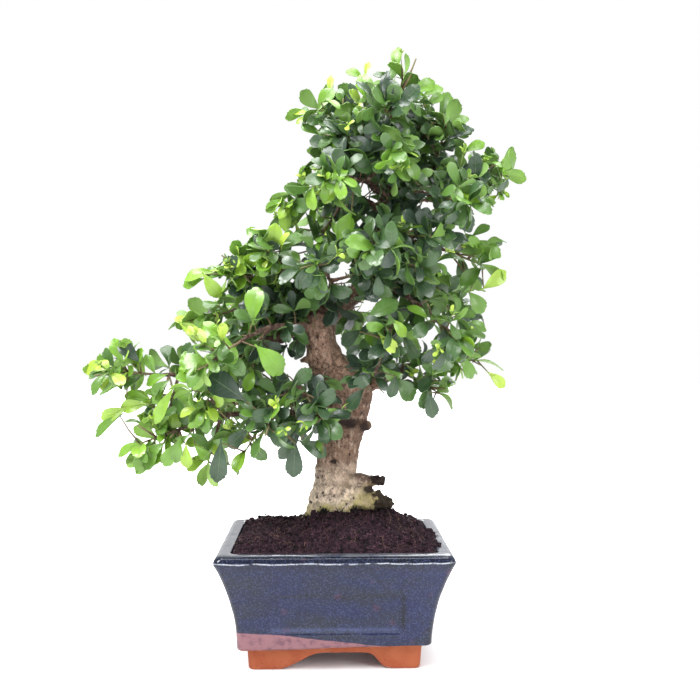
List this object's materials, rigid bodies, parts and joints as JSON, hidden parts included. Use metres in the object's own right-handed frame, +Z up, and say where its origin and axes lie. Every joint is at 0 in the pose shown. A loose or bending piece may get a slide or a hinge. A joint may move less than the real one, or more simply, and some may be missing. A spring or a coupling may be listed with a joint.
{
  "type": "fukien tea bonsai",
  "caption": "Small-leaved bonsai tree with a curved, sawn trunk and a leaning leafy canopy, planted in a blue glazed rectangular tray on corner feet.",
  "frame": {"origin": "bottom centre of the bounding box, on the plane of the feet", "axes": "+Z up along the height, +X to the right as seen from the front, +Y to the back"},
  "size_m": [0.4004, 0.2772, 0.5418],
  "materials": {
    "glaze": "gloss",
    "screen": "matte",
    "peat": "matte",
    "bark": "matte",
    "leaf_bright": "satin",
    "leaf_mid": "satin",
    "leaf_dark": "satin"
  },
  "bodies": {
    "root": {"pot": "glaze", "drain_screen_left": "screen", "drain_screen_right": "screen", "soil": "peat", "trunk": "bark", "crown_spray_1": "leaf_bright", "crown_spray_2": "leaf_bright", "crown_spray_3": "leaf_bright", "crown_left_spray_1": "leaf_bright", "crown_left_spray_2": "leaf_bright", "crown_right_spray_1": "leaf_mid", "crown_right_spray_2": "leaf_mid", "crown_front_spray_1": "leaf_dark", "crown_front_spray_2": "leaf_dark", "crown_back_spray_1": "leaf_mid", "crown_back_spray_2": "leaf_mid", "upper_right_spray_1": "leaf_mid", "upper_right_spray_2": "leaf_mid", "upper_right_front_spray_1": "leaf_dark", "upper_right_front_spray_2": "leaf_dark", "upper_right_back_spray_1": "leaf_dark", "upper_left_spray_1": "leaf_bright", "upper_left_spray_2": "leaf_bright", "upper_left_front_spray_1": "leaf_mid", "upper_left_front_spray_2": "leaf_mid", "upper_left_back_spray_1": "leaf_mid", "mid_right_spray_1": "leaf_mid", "mid_right_spray_2": "leaf_mid", "mid_front_spray_1": "leaf_dark", "mid_front_spray_2": "leaf_dark", "mid_back_spray_1": "leaf_dark", "mid_back_spray_2": "leaf_dark", "inner_front_spray_1": "leaf_dark", "inner_front_spray_2": "leaf_dark", "mid_left_spray_1": "leaf_bright", "mid_left_spray_2": "leaf_bright", "mid_left_spray_3": "leaf_bright", "left_high_spray_1": "leaf_bright", "left_high_spray_2": "leaf_bright", "left_long_spray_1": "leaf_bright", "left_long_spray_2": "leaf_bright", "left_long_spray_3": "leaf_bright", "left_long_spray_4": "leaf_bright", "left_front_spray_1": "leaf_mid", "left_front_spray_2": "leaf_mid", "left_back_spray_1": "leaf_mid", "left_back_spray_2": "leaf_mid", "inner_back_spray_1": "leaf_dark", "low_right_front_spray_1": "leaf_dark", "low_right_front_spray_2": "leaf_dark", "low_right_back_spray_1": "leaf_dark", "low_right_spray_1": "leaf_mid", "low_right_spray_2": "leaf_mid", "centre_front_spray_1": "leaf_dark", "lower_left_spray_1": "leaf_bright", "lower_left_spray_2": "leaf_bright", "lower_left_spray_3": "leaf_bright", "lower_left_front_spray_1": "leaf_dark", "lower_left_front_spray_2": "leaf_dark", "lower_left_back_spray_1": "leaf_mid"}
  },
  "joints": []
}
